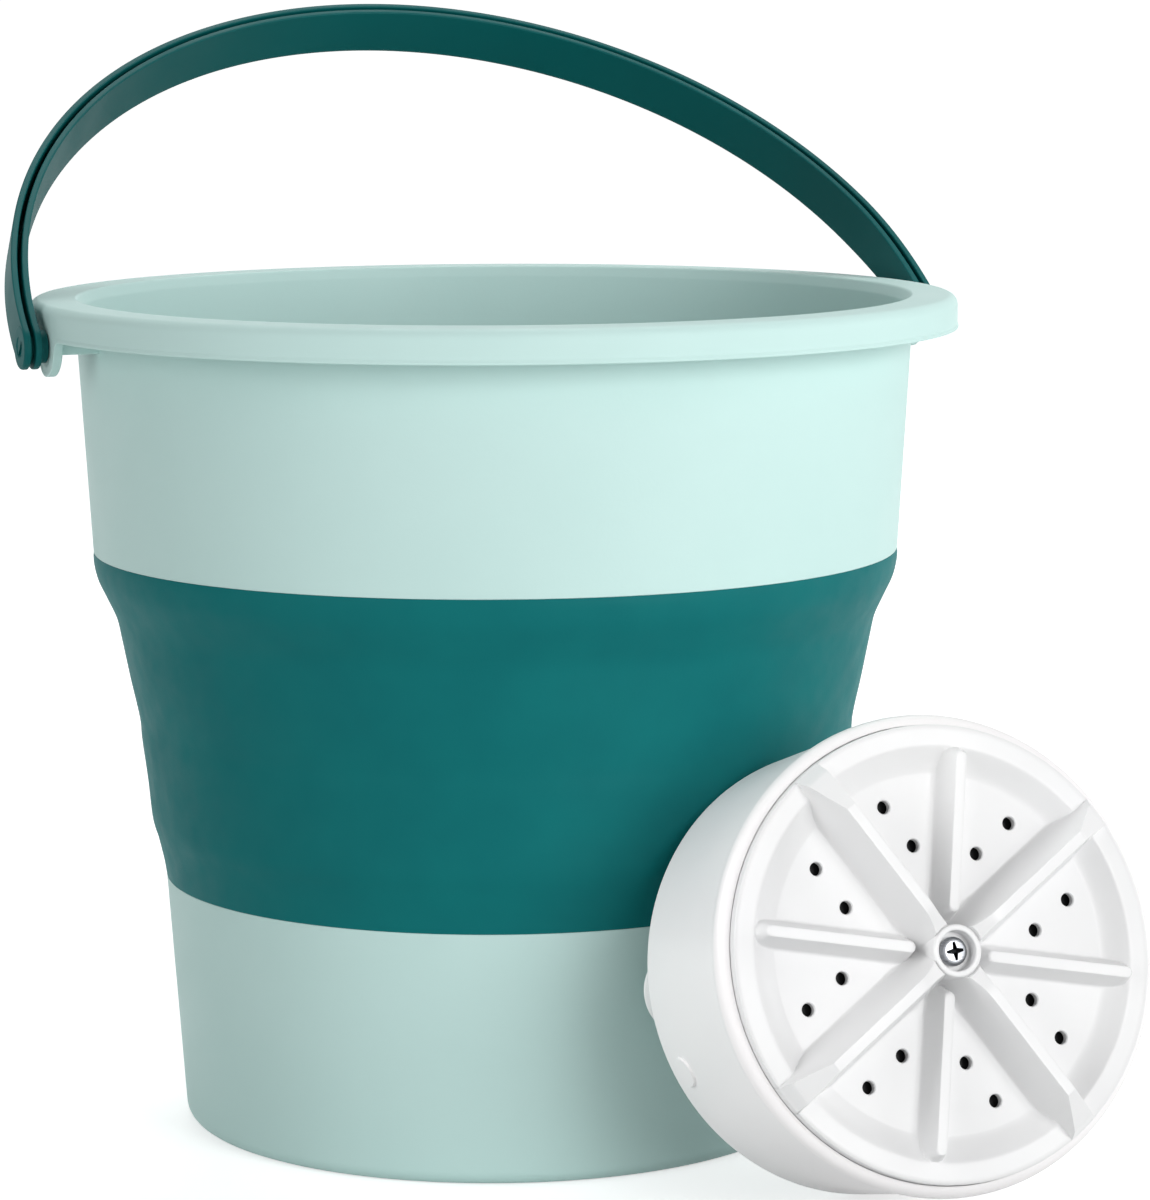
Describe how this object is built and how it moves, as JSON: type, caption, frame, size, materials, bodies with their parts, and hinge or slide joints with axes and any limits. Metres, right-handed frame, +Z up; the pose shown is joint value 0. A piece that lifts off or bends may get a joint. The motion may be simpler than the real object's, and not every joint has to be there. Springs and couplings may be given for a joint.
{
  "type": "folding mini washing machine",
  "caption": "Folding bucket with a soft band, a swinging handle and a round washing unit whose ribbed impeller turns.",
  "frame": {"origin": "centre of the bucket's base, on the floor", "axes": "+Z up along the bucket's axis, -Y towards the front, +X to the right; the washing unit leans at the front right"},
  "size_m": [0.3437, 0.3234, 0.3491],
  "materials": {
    "mint_plastic": "satin mint plastic",
    "teal_rubber": "soft satin rubber",
    "dark_teal_plastic": "smooth plastic",
    "white_plastic": "satin white plastic",
    "grey_rubber": "soft rubber",
    "black_rubber": "matt rubber",
    "steel": "bright steel",
    "bronze": "machined",
    "acetal": "moulded",
    "board": "lacquered board"
  },
  "bodies": {
    "base": {"lower_cup": "mint_plastic", "folding_band": "teal_rubber"},
    "upper": {"upper_shell": "mint_plastic"},
    "handle": {"handle": "dark_teal_plastic"},
    "washer": {"casing": "white_plastic", "shaft_seal": "black_rubber", "front_bush": "bronze", "rear_bush": "bronze", "motor": "steel", "gear_plate": "steel", "rear_cover": "white_plastic", "rear_gasket": "black_rubber", "control_board": "board", "power_inlet": "black_rubber", "inlet_plug": "grey_rubber", "suction_cup_1": "grey_rubber", "suction_cup_2": "grey_rubber", "suction_cup_3": "grey_rubber", "plate_screw_1": "steel", "plate_screw_2": "steel", "plate_screw_3": "steel", "rear_screw_1": "steel", "rear_screw_2": "steel", "rear_screw_3": "steel", "motor_screw_1": "steel", "motor_screw_2": "steel"},
    "impeller": {"impeller": "white_plastic", "impeller_screw": "steel", "output_shaft": "steel", "output_gear": "acetal"},
    "rotor": {"motor_shaft": "steel", "motor_pinion": "bronze"}
  },
  "joints": [
    {"name": "bucket_fold", "type": "slide", "parent": "base", "child": "upper", "axis": [0, 0, 1], "range_m": [-0.172, 0], "deforming": ["folding_band"]},
    {"name": "handle_swing", "type": "hinge", "parent": "upper", "child": "handle", "pos_m": [0, 0, 0.248], "axis": [0.9311, 0.3649, 0], "range_deg": [-61.6, 168.4]},
    {"name": "washer_move", "type": "slide", "parent": "base", "child": "washer", "axis": [0.3875, -0.9219, 0], "range_m": [0, 0.086]},
    {"name": "impeller_spin", "type": "hinge", "parent": "washer", "child": "impeller", "pos_m": [0.10659, -0.08868, 0.0631], "axis": [0.3719, -0.8848, 0.2807], "continuous": true},
    {"name": "motor_spin", "type": "hinge", "parent": "washer", "child": "rotor", "pos_m": [0.09639, -0.10069, 0.03875], "axis": [0.3719, -0.8848, 0.2807], "continuous": true}
  ],
  "couplings": [
    {"joint": "washer_move", "follows": "bucket_fold", "ratio": -0.5},
    {"joint": "motor_spin", "follows": "impeller_spin", "ratio": -4.8}
  ]
}
